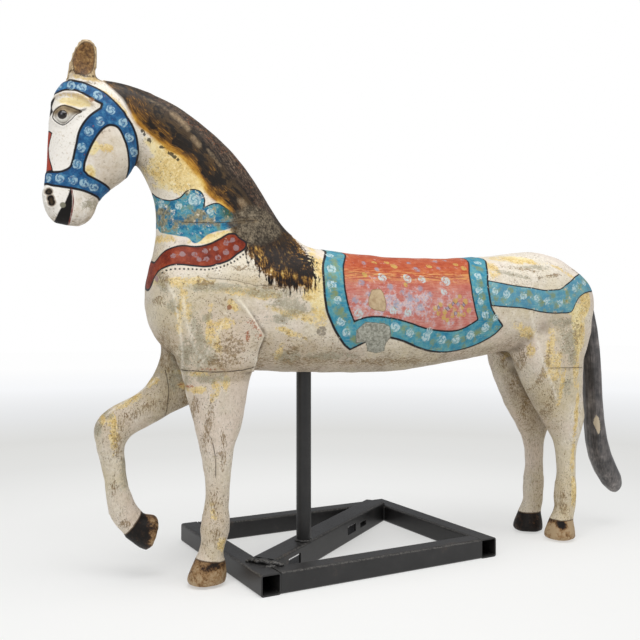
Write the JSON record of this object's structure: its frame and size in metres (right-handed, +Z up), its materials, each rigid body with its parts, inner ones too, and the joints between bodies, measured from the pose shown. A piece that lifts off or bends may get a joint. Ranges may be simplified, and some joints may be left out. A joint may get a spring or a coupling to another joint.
{
  "type": "carousel horse",
  "caption": "Carved and painted wooden horse with a raised foreleg, bridle and blanket, carried by an upright post on a welded square-tube stand.",
  "frame": {"origin": "on the axis of the upright post, at floor level, on the underside of the diagonal bar that carries the post", "axes": "+Z up, -X towards the horse's head, +X towards its tail, -Y towards its left side"},
  "size_m": [1.33, 0.4819, 0.998],
  "materials": {
    "painted_wood": "old cream paint, worn and grimy, over carved wood",
    "tail_paint": "worn black paint over carved wood",
    "stand_paint": "satin black paint on welded steel tube"
  },
  "bodies": {
    "root": {"horse": "painted_wood", "tail": "tail_paint", "post": "stand_paint", "front_crossbar": "stand_paint", "rear_crossbar": "stand_paint", "near_rail": "stand_paint", "far_rail": "stand_paint", "diagonal_bar": "stand_paint"}
  },
  "joints": []
}
